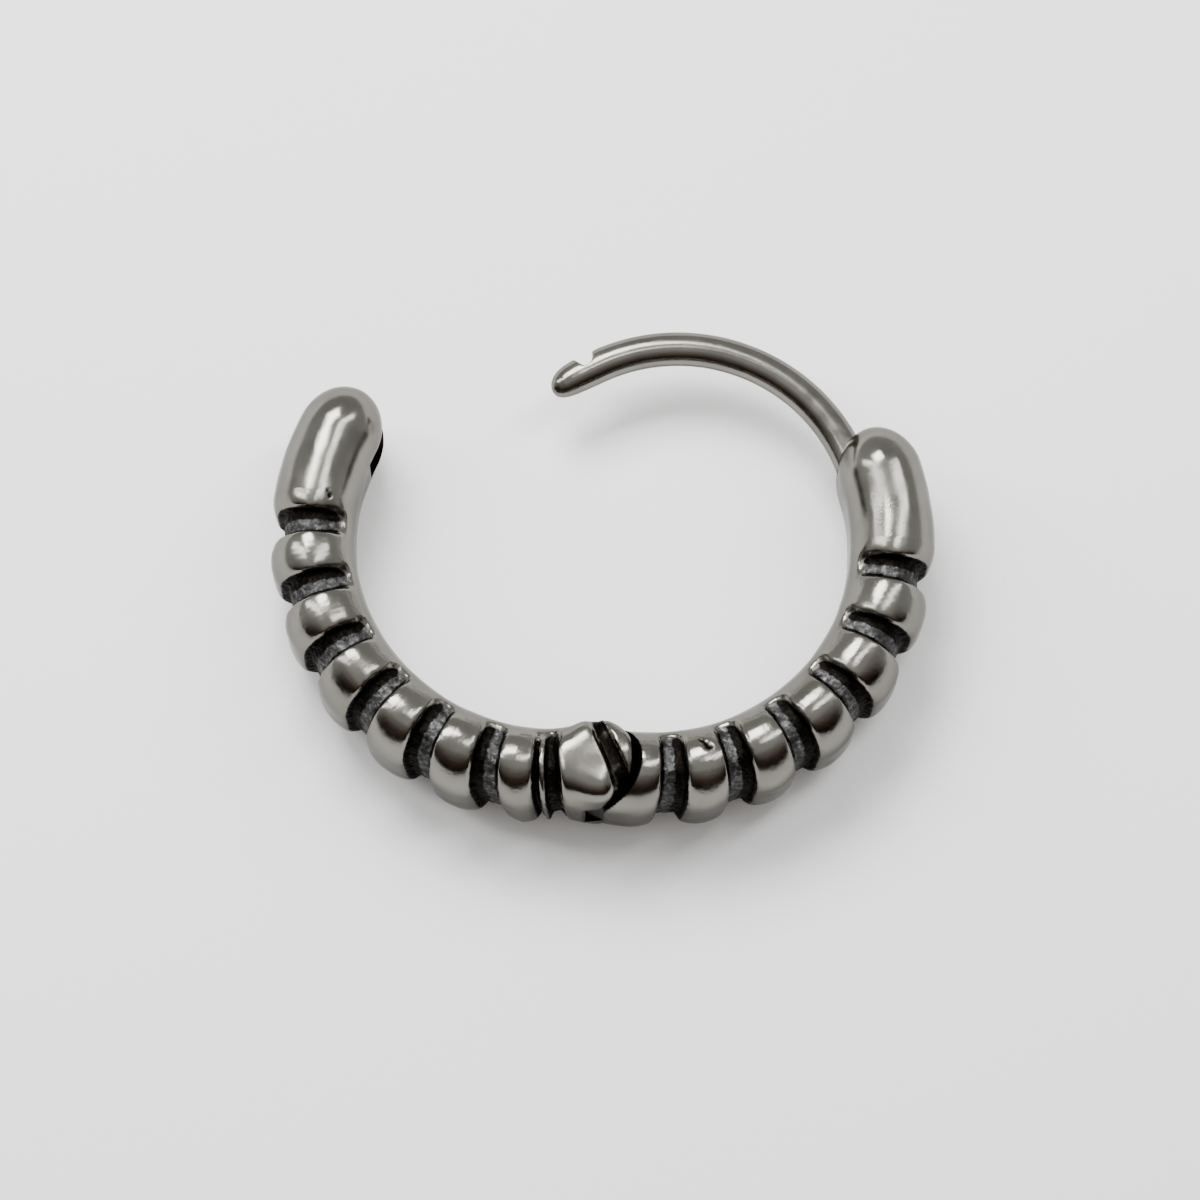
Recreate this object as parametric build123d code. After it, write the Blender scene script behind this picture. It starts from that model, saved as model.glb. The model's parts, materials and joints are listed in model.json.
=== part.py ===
from build123d import *
import os
from math import atan, atan2, cos, degrees, hypot, radians, sin

# A hinged hoop earring of polished steel, standing open and lying on its rear face.
# Two cast half rings are joined by a hidden pin at the bottom. Each ends in a smooth
# barrel at the top. One barrel holds the bent ear wire, the other has the slot that
# the wire's notched tip clicks into.
# Each half is drawn round its own ring centre with the hoop's axis along Z, angles
# counter-clockwise from +X, and millimetres throughout.

# Band, the same oval section in both halves
MID_RADIUS = 7.0
THICKNESS = 2.46
WIDTH = 4.2
FACE_FLAT = 0.76

# Grooves between the ribs
GROOVE_DEPTH = 0.43
GROOVE_ARC = 5.5
BORE_STRIP = 0.27

# Barrels at the two free ends
CATCH_TIP_ANGLE = 138.1
WIRE_TIP_ANGLE = 47.2
TIP_LENGTH = 1.5

# Hinge at the bottom
HINGE_ANGLE = -84.5
PIN_RADIUS = 0.35
PIN_COVER = 0.45
PIN_FIT = 0.01
PIN_RUNNING_FIT = 0.03
SHOULDER_GAP = 0.15
TONGUE_THICKNESS = 1.4
TONGUE_GAP = 0.05
TONGUE_RADIUS = 1.12
FORK_GAP = 0.18
TONGUE_ROOT = 1.0

# Ear wire
WIRE_RADIUS = 0.5
WIRE_BEND = 5.36
WIRE_CENTRE = (0.587, 0.922)
WIRE_ROOT_ANGLE = 27.0
WIRE_END_ANGLE = 151.7
WIRE_STRAIGHT = 1.5
WIRE_TIP_RADIUS = 0.435
WIRE_TIP_ROUND = 0.3
SOCKET_FIT = 0.02
NOTCH_DEPTH = 0.44
NOTCH_FROM_TIP = 1.18
NOTCH_RADIUS = 0.2
NOTCH_MOUTH = 0.75

# Slot in the catch barrel for the wire's tip
SLOT_WIDTH = 1.2
SLOT_END_GAP = 0.12
SLOT_SIDE_GAP = 0.04

# How the halves stand in the photograph's open position
HOOP_TURN = -18.9
OPENING = 22.9
CLOSING = 29.0

# Grooves: where each one crosses the middle of the width, and how far it moves along
# the ring between the rear face and the front one, both in degrees
CATCH_GROOVES = (
    # angle, lean
    (174.9, 0.8),
    (190.3, 0.4),
    (206.1, -0.8),
    (221.6, -1.7),
    (237.3, -3.8),
    (252.6, -5.0),
    (265.2, -2.9),
)
WIRE_GROOVES = (
    # angle, lean
    (10.1, -1.7),
    (-6.0, -0.8),
    (-22.0, 0.4),
    (-37.9, 2.1),
    (-52.8, 2.5),
    (-67.6, 2.9),
)
# The groove over the knuckle is narrower and leans across the hoop as well
KNUCKLE_GROOVE_ANGLE = 279.4
KNUCKLE_GROOVE_ARC = 3.6
KNUCKLE_GROOVE_TILT = 11.0

CUT = 3.0


def face_of(*edges):
    """A flat face in the XZ plane, from edges drawn as (radius, height)."""
    return Plane.XZ * make_face(Curve() + list(edges))


def crown(side, centre, inset=0.0):
    """The curved inner (-1) or outer (+1) side of the oval section.

    Only the outer side and the faces are set back: the grooves stop short of the bore.
    """
    bulge = THICKNESS / 2 - FACE_FLAT / 2 - (inset if side > 0 else 0)
    first = -90 if side > 0 else 90
    return EllipticalCenterArc(
        (centre, 0), bulge, WIDTH / 2 - inset, start_angle=first, arc_size=180
    )


def oval(inset=0.0):
    """The band's section: flat front and rear faces between two crowns."""
    outer = crown(1, MID_RADIUS + FACE_FLAT / 2, inset)
    inner = crown(-1, MID_RADIUS - FACE_FLAT / 2, inset)
    return face_of(outer, Line(outer @ 1, inner @ 0), inner, Line(inner @ 1, outer @ 0))


def box_section(radius_in, radius_out, height):
    """A rectangular section, centred on the middle of the width."""
    middle = (radius_in + radius_out) / 2
    return Plane.XZ * Pos(middle, 0) * Rectangle(radius_out - radius_in, height)


def arc_solid(section, start, end):
    """Turn a section round the ring's axis from one angle to another."""
    return Rot(0, 0, start) * revolve(section, Axis.Z, end - start)


def at_ring(angle, radius=MID_RADIUS):
    """The place on the ring at an angle, with X outward and Y along the band."""
    return Rot(0, 0, angle) * Pos(radius, 0, 0)


def half_puck(radius, stretch):
    """Half of a round crowned disc, on the +Y side, its length stretched along Y."""
    bulge = radius - FACE_FLAT / 2
    rim = EllipticalCenterArc((FACE_FLAT / 2, 0), bulge, WIDTH / 2, start_angle=-90, arc_size=180)
    low, high = (0, -WIDTH / 2), (0, WIDTH / 2)
    profile = face_of(Line(low, rim @ 0), rim, Line(rim @ 1, high), Line(high, low))
    puck = revolve(profile, Axis.Z, 180)
    return puck if stretch == 1 else scale(puck, by=(1, stretch, 1))


def groove(angle, lean, arc=GROOVE_ARC, tilt=0.0):
    """The ring of metal removed between two ribs: all but the floor and the bore strip."""
    slant = degrees(atan(radians(lean) * MID_RADIUS / WIDTH))
    outside = MID_RADIUS + THICKNESS / 2 + CUT
    inside = MID_RADIUS - THICKNESS / 2 + BORE_STRIP
    cutter = arc_solid(box_section(inside, outside, WIDTH + CUT), -arc / 2, arc / 2)
    turned = Pos(MID_RADIUS, 0, 0) * Rot(0, 0, tilt) * Pos(-MID_RADIUS, 0, 0) * cutter
    floor = arc_solid(oval(GROOVE_DEPTH), angle - 2 * GROOVE_ARC, angle + 2 * GROOVE_ARC)
    return Rot(0, 0, angle) * Rot(-slant, 0, 0) * turned - floor


def cylinder_at(centre, radius, low, high):
    """An upright cylinder between two heights."""
    return Pos(centre[0], centre[1], (low + high) / 2) * Cylinder(radius, high - low)


def on_ring(angle, radius=MID_RADIUS):
    """X and Y of a point of the ring."""
    return radius * cos(radians(angle)), radius * sin(radians(angle))


hinge = on_ring(HINGE_ANGLE)
knuckle_radius = THICKNESS / 2
tip_turn = degrees(TIP_LENGTH / MID_RADIUS)
catch_rim = CATCH_TIP_ANGLE + tip_turn
wire_rim = WIRE_TIP_ANGLE - tip_turn
tip_stretch = TIP_LENGTH / (THICKNESS / 2)
fork_half = TONGUE_THICKNESS / 2 + TONGUE_GAP
pin_top = WIDTH / 2 - PIN_COVER


def wire_frame(angle):
    """A frame on the wire's bend: X outward, Y along the wire towards its tip."""
    return Pos(*WIRE_CENTRE, 0) * Rot(0, 0, angle) * Pos(WIRE_BEND, 0, 0)


straight_turn = degrees(WIRE_STRAIGHT / WIRE_BEND)
bend_end = WIRE_END_ANGLE - straight_turn
notch_place = WIRE_STRAIGHT - NOTCH_FROM_TIP


def plain_wire(grow=0.0):
    """The ear wire without its notch, thicker by grow all round."""
    section = Plane.XZ * Pos(WIRE_BEND, 0) * Circle(WIRE_RADIUS + grow)
    bend = Pos(*WIRE_CENTRE, 0) * arc_solid(section, WIRE_ROOT_ANGLE, bend_end)
    taper = Cone(
        WIRE_RADIUS + grow,
        WIRE_TIP_RADIUS + grow,
        WIRE_STRAIGHT + grow,
        align=(Align.CENTER, Align.CENTER, Align.MIN),
    )
    end_edge = taper.edges().filter_by(GeomType.CIRCLE).sort_by(Axis.Z)[-1]
    taper = fillet(end_edge, WIRE_TIP_ROUND)
    return bend + wire_frame(bend_end) * Rot(-90, 0, 0) * taper


def make_ear_wire():
    """The bent wire, with the notch near its tip that the catch barrel holds."""
    wire = plain_wire()
    along = notch_place
    bottom = WIRE_RADIUS - NOTCH_DEPTH
    width = 2 * WIRE_RADIUS + CUT
    round_part = Pos(bottom + NOTCH_RADIUS, along, 0) * Cylinder(NOTCH_RADIUS, width)
    mouth = Polyline(
        (bottom + NOTCH_RADIUS, along - NOTCH_RADIUS),
        (bottom + NOTCH_RADIUS, along + NOTCH_RADIUS),
        (bottom + CUT, along + NOTCH_MOUTH * CUT / 2),
        (bottom + CUT, along - NOTCH_RADIUS),
        close=True,
    )
    mouth_part = Pos(0, 0, -width / 2) * extrude(make_face(mouth), width)
    return wire - wire_frame(bend_end) * (round_part + mouth_part)


def make_wire_half():
    """The half that holds the ear wire, with the hinge's middle tongue."""
    band = arc_solid(oval(), HINGE_ANGLE, wire_rim)
    barrel_end = at_ring(wire_rim) * half_puck(THICKNESS / 2, tip_stretch)
    half = band + barrel_end
    shoulder = knuckle_radius + SHOULDER_GAP
    half -= cylinder_at(hinge, shoulder, -WIDTH, WIDTH)
    reach = degrees((shoulder + TONGUE_ROOT) / MID_RADIUS)
    tongue_section = box_section(MID_RADIUS - TONGUE_RADIUS, MID_RADIUS + TONGUE_RADIUS, TONGUE_THICKNESS)
    tongue = arc_solid(tongue_section, HINGE_ANGLE, HINGE_ANGLE + reach)
    half_tongue = TONGUE_THICKNESS / 2
    tongue += cylinder_at(hinge, TONGUE_RADIUS, -half_tongue, half_tongue)
    half += tongue
    half -= cylinder_at(hinge, PIN_RADIUS + PIN_RUNNING_FIT, -WIDTH, WIDTH)
    for angle, lean in WIRE_GROOVES:
        half -= groove(angle, lean)
    return half - plain_wire(SOCKET_FIT)


def make_catch_slot():
    """The slot in the catch barrel: a ring segment about the hinge, open to the bore."""
    tip_reach, tip_angle = wire_tip_at_close()
    floor_angle = tip_angle + degrees(SLOT_END_GAP / tip_reach)
    inner_reach = tip_reach - WIRE_RADIUS - SLOT_END_GAP
    outer_reach = barb_reach() + SLOT_SIDE_GAP
    section = box_section(inner_reach, outer_reach, SLOT_WIDTH)
    sweep = degrees(CUT / inner_reach)
    return Pos(*hinge, 0) * arc_solid(section, floor_angle - sweep, floor_angle)


def seen_from_hinge(x, y):
    """Distance and angle of a point about the hinge."""
    return hypot(x - hinge[0], y - hinge[1]), degrees(atan2(y - hinge[1], x - hinge[0]))


def wire_tip_at_close():
    """The wire's tip in the catch half's own frame when the hoop is clicked shut."""
    tip = (wire_frame(bend_end) * Pos(0, WIRE_STRAIGHT, 0)).position
    reach, angle = seen_from_hinge(tip.X, tip.Y)
    return reach, angle + CLOSING - OPENING


def barb_reach():
    """How far the barb on the notch's tip side lies from the hinge."""
    barb = (wire_frame(bend_end) * Pos(WIRE_RADIUS, notch_place + NOTCH_RADIUS, 0)).position
    return seen_from_hinge(barb.X, barb.Y)[0]


def make_catch_half():
    """The half with the slotted barrel, the hinge's fork and the crescent knuckle."""
    band = arc_solid(oval(), catch_rim, HINGE_ANGLE + 360)
    barrel_end = at_ring(catch_rim) * Rot(180, 0, 0) * half_puck(THICKNESS / 2, tip_stretch)
    knuckle = at_ring(HINGE_ANGLE) * half_puck(knuckle_radius, 1)
    half = band + barrel_end + knuckle
    half -= cylinder_at(hinge, TONGUE_RADIUS + FORK_GAP, -fork_half, fork_half)
    half -= cylinder_at(hinge, PIN_RADIUS + PIN_FIT, -WIDTH, pin_top + PIN_FIT)
    for angle, lean in CATCH_GROOVES:
        half -= groove(angle, lean)
    half -= groove(KNUCKLE_GROOVE_ANGLE, 0, KNUCKLE_GROOVE_ARC, KNUCKLE_GROOVE_TILT)
    return half - make_catch_slot()


def make_hinge_pin():
    """The hidden pin, ground flush with the rear face and covered at the front."""
    return cylinder_at(hinge, PIN_RADIUS, -WIDTH / 2, pin_top)


# Each half in its place: the whole hoop turned, and the catch half swung open
open_about_hinge = Pos(*hinge, 0) * Rot(0, 0, OPENING) * Pos(-hinge[0], -hinge[1], 0)
turn = Rot(0, 0, HOOP_TURN)
nodes = {
    "wire_half": turn * make_wire_half(),
    "ear_wire": turn * make_ear_wire(),
    "catch_half": turn * open_about_hinge * make_catch_half(),
    "hinge_pin": turn * make_hinge_pin(),
}

# The origin is under the middle of the hoop's bounding box
extent = Compound(list(nodes.values())).bounding_box()
shift = Pos(-(extent.min.X + extent.max.X) / 2, -(extent.min.Y + extent.max.Y) / 2, -extent.min.Z)

os.makedirs("parts", exist_ok=True)
for name, shape in nodes.items():
    placed = shift * shape
    export_step(placed, f"parts/{name}.step")
    print(name, "volume", round(placed.volume, 2))

pin_place = shift * turn * Pos(*hinge, 0)
print("hinge at", pin_place.position, "size", extent.size)
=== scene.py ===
# %% [markdown]
# # A hinged hoop earring in antiqued steel
#
# The earring is small: about 16 mm across when shut. Two cast half rings meet at a
# hidden hinge, each is cut into ribs by dark grooves, and a bent wire from one half
# clicks into the other. This lesson models it in millimetres round each half's own
# ring centre, and only at the end brings every piece to its place and to metres.

# %% The frame
import json
import math

import bpy
import numpy as np
from mathutils import Matrix, Vector


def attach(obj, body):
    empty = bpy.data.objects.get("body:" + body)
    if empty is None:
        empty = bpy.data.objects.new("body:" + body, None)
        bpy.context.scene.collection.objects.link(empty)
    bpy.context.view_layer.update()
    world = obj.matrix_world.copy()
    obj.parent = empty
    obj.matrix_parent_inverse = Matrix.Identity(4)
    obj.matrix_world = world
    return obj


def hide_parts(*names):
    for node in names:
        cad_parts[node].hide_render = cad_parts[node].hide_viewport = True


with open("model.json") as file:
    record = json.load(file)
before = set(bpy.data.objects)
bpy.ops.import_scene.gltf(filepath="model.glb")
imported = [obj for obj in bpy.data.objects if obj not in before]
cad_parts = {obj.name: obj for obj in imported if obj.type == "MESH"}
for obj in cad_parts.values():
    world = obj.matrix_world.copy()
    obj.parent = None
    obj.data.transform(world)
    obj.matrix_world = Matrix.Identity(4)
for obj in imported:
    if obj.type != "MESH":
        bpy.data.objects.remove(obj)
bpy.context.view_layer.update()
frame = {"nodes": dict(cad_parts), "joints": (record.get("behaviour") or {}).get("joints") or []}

# %% [markdown]
# The sizes are those of the solid model, in millimetres and degrees, with two exceptions.
# The bar is a hundredth thinner, because the waves that are put on it later lift its skin
# a little, and half the height of its straight side is chosen here. Angles run
# counter-clockwise from +X about the ring's centre, with both halves in the position they
# have when the hoop is round.

# %% Sizes
MID_RADIUS = 7.0
THICKNESS = 2.45
WIDTH = 4.2
SIDE = 0.5
GROOVE_DEPTH = 0.43
GROOVE_ARC = 5.5
BORE_STRIP = 0.27
HINGE_ANGLE = -84.5
CATCH_TIP_ANGLE = 138.1
WIRE_TIP_ANGLE = 47.2
TIP_LENGTH = 1.5
HOOP_TURN = -18.9
OPENING = 22.9
MM = 0.001

# Grooves: the middle of each one, and how far it moves along the ring between the rear
# face and the front one
CATCH_GROOVES = (
    # angle, lean
    (174.9, 0.8),
    (190.3, 0.4),
    (206.1, -0.8),
    (221.6, -1.7),
    (237.3, -3.8),
    (252.6, -5.0),
    (265.2, -2.9),
)
WIRE_GROOVES = (
    # angle, lean
    (10.1, -1.7),
    (-6.0, -0.8),
    (-22.0, 0.4),
    (-37.9, 2.1),
    (-52.8, 2.5),
    (-67.6, 2.9),
)
hinge_place = Vector(frame["joints"][0]["pos_m"]) / MM
hinge = Matrix.Rotation(math.radians(HINGE_ANGLE), 3, "Z") @ Vector((MID_RADIUS, 0, 0))
tip_turn = math.degrees(TIP_LENGTH / MID_RADIUS)
catch_rim = CATCH_TIP_ANGLE + tip_turn
wire_rim = WIRE_TIP_ANGLE - tip_turn
print("hinge in the frame at", tuple(round(v, 3) for v in hinge_place), "mm")

# %% [markdown]
# Every operator works on what is selected, so each piece starts with nothing selected
# and ends back in object mode. These few helpers keep that in one place.

# %% Small tools for selecting and shaping
def start_clean():
    """Leave edit mode and select nothing."""
    if bpy.context.object and bpy.context.object.mode == "EDIT":
        bpy.ops.object.mode_set(mode="OBJECT")
    bpy.ops.object.select_all(action="DESELECT")


def make_active(piece):
    """Select one piece alone and make it the active one."""
    start_clean()
    piece.select_set(True)
    bpy.context.view_layer.objects.active = piece


def pick(piece, wanted):
    """Select, in edit mode, the vertices whose place the test accepts."""
    bpy.ops.object.mode_set(mode="OBJECT")
    for v in piece.data.vertices:
        v.select = bool(wanted(v.co))
    for e in piece.data.edges:
        e.select = all(piece.data.vertices[i].select for i in e.vertices)
    for f in piece.data.polygons:
        f.select = all(piece.data.vertices[i].select for i in f.vertices)
    bpy.ops.object.mode_set(mode="EDIT")


def spin(degrees, steps, centre=(0, 0, 0)):
    """Spin the selected edges counter-clockwise about an upright axis."""
    bpy.ops.mesh.spin(steps=steps, angle=-math.radians(degrees), center=centre, axis=(0, 0, 1))


def turned(piece, degrees, axis="Z"):
    """Turn the mesh itself about an axis through the ring's centre."""
    piece.data.transform(Matrix.Rotation(math.radians(degrees), 4, axis))


def tidy(piece, merge=0.0005):
    """Merge doubles, close holes and point every face outward."""
    make_active(piece)
    bpy.ops.object.mode_set(mode="EDIT")
    bpy.ops.mesh.select_all(action="SELECT")
    bpy.ops.mesh.remove_doubles(threshold=merge)
    bpy.ops.mesh.select_all(action="SELECT")
    bpy.ops.mesh.fill_holes(sides=0)
    bpy.ops.mesh.select_all(action="SELECT")
    bpy.ops.mesh.normals_make_consistent(inside=False)
    bpy.ops.object.mode_set(mode="OBJECT")


def apply_modifier(piece, kind, **settings):
    """Add one modifier with its settings and apply it."""
    make_active(piece)
    modifier = piece.modifiers.new(kind.title(), kind)
    for key, value in settings.items():
        setattr(modifier, key, value)
    bpy.ops.object.modifier_apply(modifier=modifier.name)


def copy_of(piece, name):
    """A copy with its own mesh."""
    twin = piece.copy()
    twin.data = piece.data.copy()
    twin.name = name
    bpy.context.scene.collection.objects.link(twin)
    return twin


def join(pieces, name):
    """Join several pieces into the first one."""
    start_clean()
    for piece in pieces:
        piece.select_set(True)
    bpy.context.view_layer.objects.active = pieces[0]
    bpy.ops.object.join()
    pieces[0].name = name
    return pieces[0]


def cut_away(piece, *cutters):
    """Take closed cutters out of a piece, and throw the cutters away."""
    for cutter in cutters:
        apply_modifier(piece, "BOOLEAN", object=cutter, operation="DIFFERENCE", solver="EXACT")
        bpy.data.objects.remove(cutter)


# %% [markdown]
# A half ring is cast as one bar of long oval section, bent round, with rounded ends. On
# screen it begins as a circle of points, squeezed to the crown's size, its halves pulled
# apart a little to leave straight sides, then spun round the ring's centre. The outer
# half of the end loop is spun again, about the bar's own middle, and that closes the end
# like a fingertip. The same bar set back from the surface is the floor that the grooves
# reach: it is set back on the outside and the faces, but not in the bore.

# %% The oval bar
SECTION_POINTS = 96
CAP_STEPS = 40
STEP_DEGREES = 1.5
NEAR = 0.001


def section_loop(inset=0.0, flat=0.0):
    """A closed loop of edges: the bar's section in the XZ plane at the mid radius.

    The inset sets the outside and the faces back, and the flat is half of a flat top.
    """
    start_clean()
    bpy.ops.mesh.primitive_circle_add(
        vertices=SECTION_POINTS, radius=1, fill_type="NOTHING", rotation=(math.pi / 2, 0, 0)
    )
    loop = bpy.context.object
    bpy.ops.object.transform_apply(location=False, rotation=True, scale=False)
    turned(loop, 180 / SECTION_POINTS, "Y")
    bpy.ops.object.mode_set(mode="EDIT")
    bpy.ops.mesh.select_all(action="SELECT")
    bpy.ops.transform.resize(value=(THICKNESS / 2 - flat, 1, WIDTH / 2 - SIDE - inset))
    pick(loop, lambda p: p.x > 0)
    outer_share = 1 - inset / (THICKNESS / 2)
    bpy.ops.transform.resize(value=(outer_share, 1, 1), center_override=(0, 0, 0))
    for sign in (-1, 1):
        pick(loop, lambda p, sign=sign: p.z * sign > 0)
        bpy.ops.transform.translate(value=(0, 0, sign * SIDE))
        pick(loop, lambda p, sign=sign: p.x * sign > 0)
        bpy.ops.transform.translate(value=(sign * flat, 0, 0))
    bpy.ops.mesh.select_all(action="SELECT")
    bpy.ops.transform.translate(value=(MID_RADIUS, 0, 0))
    bpy.ops.object.mode_set(mode="OBJECT")
    return loop


def round_end(bar, side, length):
    """Close the open end that lies at angle 0, on the +Y or -Y side."""
    make_active(bar)
    pick(bar, lambda p: abs(p.y) < NEAR and p.x > MID_RADIUS)
    spin(180 * side, CAP_STEPS, (MID_RADIUS, 0, 0))
    pick(bar, lambda p: p.y * side > NEAR)
    stretch = length / (THICKNESS / 2)
    bpy.ops.transform.resize(value=(1, stretch, 1), center_override=(0, 0, 0))
    bpy.ops.object.mode_set(mode="OBJECT")


def oval_bar(start, end, inset=0.0, start_cap=None, end_cap=None, flat=0.0):
    """The bar bent from one angle to another, with a rounded end where a length is given."""
    bar = section_loop(inset, flat)
    if start_cap:
        round_end(bar, -1, start_cap)
    make_active(bar)
    pick(bar, lambda p: abs(p.y) < NEAR)
    arc = end - start
    spin(arc, round(arc / STEP_DEGREES))
    bpy.ops.object.mode_set(mode="OBJECT")
    turned(bar, -arc)
    if end_cap:
        round_end(bar, 1, end_cap)
    turned(bar, end)
    tidy(bar)
    return bar


# %% [markdown]
# A rib is a slice of the bar. Its two walls are planes through the ring's axis, leaned
# a little about the radius, because the grooves of a hand-finished casting don't run
# quite square. The grooves could be cut out with boxes, but Bisect cuts the slice and
# fills its walls in one go.

# %% Slices between grooves
def wall(groove_angle, lean, side, arc=GROOVE_ARC, tilt=0.0):
    """A point on a groove's wall and the direction that looks out of the rib it ends."""
    slant = math.atan(math.radians(lean) * MID_RADIUS / WIDTH)
    middle = Matrix.Rotation(math.radians(groove_angle), 4, "Z") @ Matrix.Rotation(-slant, 4, "X")
    pivot = Matrix.Translation((MID_RADIUS, 0, 0))
    leaned = pivot @ Matrix.Rotation(math.radians(tilt), 4, "Z") @ pivot.inverted()
    place = middle @ leaned @ Matrix.Rotation(math.radians(side * arc / 2), 4, "Z")
    outward = (place.to_3x3() @ Vector((0, -side, 0))).normalized()
    return place @ Vector((MID_RADIUS, 0, 0)), outward


def keep_behind(piece, plane):
    """Cut a piece by a plane, and close the cut."""
    point, outward = plane
    make_active(piece)
    bpy.ops.object.mode_set(mode="EDIT")
    bpy.ops.mesh.select_all(action="SELECT")
    bpy.ops.mesh.bisect(
        plane_co=point, plane_no=outward, use_fill=True, clear_outer=True, threshold=0.0001
    )
    bpy.ops.object.mode_set(mode="OBJECT")


def slices(bar, grooves):
    """Copies of the bar between neighbouring grooves, in order of rising angle."""
    ordered = sorted(grooves)
    ribs = []
    for i in range(len(ordered) + 1):
        rib = copy_of(bar, f"rib_{i}")
        if i > 0:
            keep_behind(rib, wall(*ordered[i - 1][:2], 1, *ordered[i - 1][2:]))
        if i < len(ordered):
            keep_behind(rib, wall(*ordered[i][:2], -1, *ordered[i][2:]))
        ribs.append(rib)
    return ribs


# %% [markdown]
# The whole half is built as overlapping closed shells: the ribs, the deeper core that
# shows as the groove floors, and a narrow strip along the bore where the grooves stop.
# A voxel remesh fuses the shells into one skin, and a few passes of smoothing round the
# edges as casting and tumbling do. Booleans could fuse them too, but they would leave
# knife edges that no cast jewel has. Booleans do suit the hinge and the slot, which are
# sawn and drilled after the casting, and a cylinder and a ring segment are cutters enough.

# %% Core, bore strip, fused casting and cutters
VOXEL = 0.058
SOFTEN = 6
CUT_MERGE = 0.004
DISC_SIDES = 128


def bore_strip(start, end):
    """The smooth strip of the bore that runs past the grooves."""
    strip = section_loop()
    make_active(strip)
    bpy.ops.object.mode_set(mode="EDIT")
    bpy.ops.mesh.select_all(action="SELECT")
    bpy.ops.mesh.edge_face_add()
    bpy.ops.mesh.select_all(action="SELECT")
    limit = MID_RADIUS - THICKNESS / 2 + BORE_STRIP
    bpy.ops.mesh.bisect(plane_co=(limit, 0, 0), plane_no=(1, 0, 0), clear_outer=True)
    bpy.ops.mesh.select_all(action="SELECT")
    bpy.ops.mesh.delete(type="ONLY_FACE")
    bpy.ops.mesh.select_all(action="SELECT")
    spin(end - start, round((end - start) / STEP_DEGREES))
    bpy.ops.object.mode_set(mode="OBJECT")
    turned(strip, start)
    tidy(strip)
    return strip


def fuse(pieces, name, voxel=VOXEL, soften=SOFTEN):
    """One skin round all the overlapping shells, with softened edges."""
    casting = join(pieces, name)
    apply_modifier(casting, "REMESH", mode="VOXEL", voxel_size=voxel, use_smooth_shade=True)
    apply_modifier(casting, "SMOOTH", factor=0.5, iterations=soften)
    print(name, "fused:", len(casting.data.polygons), "faces")
    return casting


def disc(radius, low, high):
    """An upright cylinder about the hinge, between two heights."""
    start_clean()
    middle = hinge + Vector((0, 0, (low + high) / 2))
    bpy.ops.mesh.primitive_cylinder_add(
        vertices=DISC_SIDES, radius=radius, depth=high - low, location=middle
    )
    bpy.ops.object.transform_apply(location=True, rotation=False, scale=False)
    return bpy.context.object


def box_arc(inner, outer, low, high, start, end):
    """A ring segment of rectangular section about the Z axis, a step for each degree."""
    start_clean()
    bpy.ops.mesh.primitive_plane_add(size=1, rotation=(math.pi / 2, 0, 0))
    segment = bpy.context.object
    bpy.ops.object.transform_apply(location=False, rotation=True, scale=False)
    bpy.ops.object.mode_set(mode="EDIT")
    bpy.ops.mesh.select_all(action="SELECT")
    bpy.ops.transform.resize(value=(outer - inner, 1, high - low))
    bpy.ops.transform.translate(value=((inner + outer) / 2, 0, (low + high) / 2))
    bpy.ops.mesh.delete(type="ONLY_FACE")
    bpy.ops.mesh.select_all(action="SELECT")
    spin(end - start, round(end - start))
    bpy.ops.object.mode_set(mode="OBJECT")
    turned(segment, start)
    tidy(segment)
    return segment


# %% [markdown]
# The catch half is seven ribs, a smooth barrel for the wire's tip and the hinge's
# knuckle. The knuckle is a short upright cylinder with a rounded rim, next to a rib with
# a flat top. Its own groove is narrower and leans across, which leaves a crescent beside
# that rib, and a slightly smaller cylinder inside is the groove's floor. In the groove
# before it a thin ridge was left standing. The fork, the pin's hole and the slot for the
# wire are cut last, so their edges stay crisp, as a saw and a drill leave them. The cuts
# leave slivers along their edges, and merging points that nearly touch clears them.

# %% The catch half
# Angle, lean, arc, and the tilt of the groove across the bar
KNUCKLE_GROOVE = (279.4, 0.0, 3.6, 11.0)
CORE_SETBACK = 5.0
KNUCKLE_ROUND = 0.6
ROUND_STEPS = 10
ROUND_EDGES = math.radians(60)
BARREL_START = 270.5
FLAT_RIB = 0.34
REAR_DROP = 0.4
CORE_RIM = 0.02
KNUCKLE_DEPTH = 0.25
RIDGE_DROP = 0.1
RIDGE_SHIFT = 0.9
RIDGE_ARC = 1.4
# The tongue, the fork round it, the shoulder that the knuckle turns in, and the pin's hole
TONGUE_HALF = 0.7
FORK_HALF = 0.75
TONGUE_RADIUS = 1.12
FORK_RADIUS = 1.3
SHOULDER_RADIUS = 1.31
PIN_HOLE = 0.36
PIN_COVER = 0.45
PIN_TOP = WIDTH / 2 - PIN_COVER
# The slot that takes the wire's tip: radii and angles about the hinge
SLOT_HALF = 0.6
SLOT_INNER = 11.05
SLOT_OUTER = 12.55
SLOT_FLOOR = 121.9
SLOT_SWEEP = 15.5


def make_ridge():
    """The thin ridge that was left standing in the groove next to the hinge."""
    angle, lean = CATCH_GROOVES[-1]
    ridge = oval_bar(angle - GROOVE_ARC, angle + GROOVE_ARC, inset=RIDGE_DROP)
    for side in (1, -1):
        keep_behind(ridge, wall(angle - RIDGE_SHIFT, lean, side, -RIDGE_ARC))
    return ridge


def rounded_disc(radius, low, high):
    """An upright cylinder about the hinge with rounded rims, as tumbling leaves it."""
    barrel = disc(radius, low, high)
    settings = {"width": KNUCKLE_ROUND, "segments": ROUND_STEPS, "angle_limit": ROUND_EDGES}
    apply_modifier(barrel, "BEVEL", **settings)
    return barrel


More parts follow.
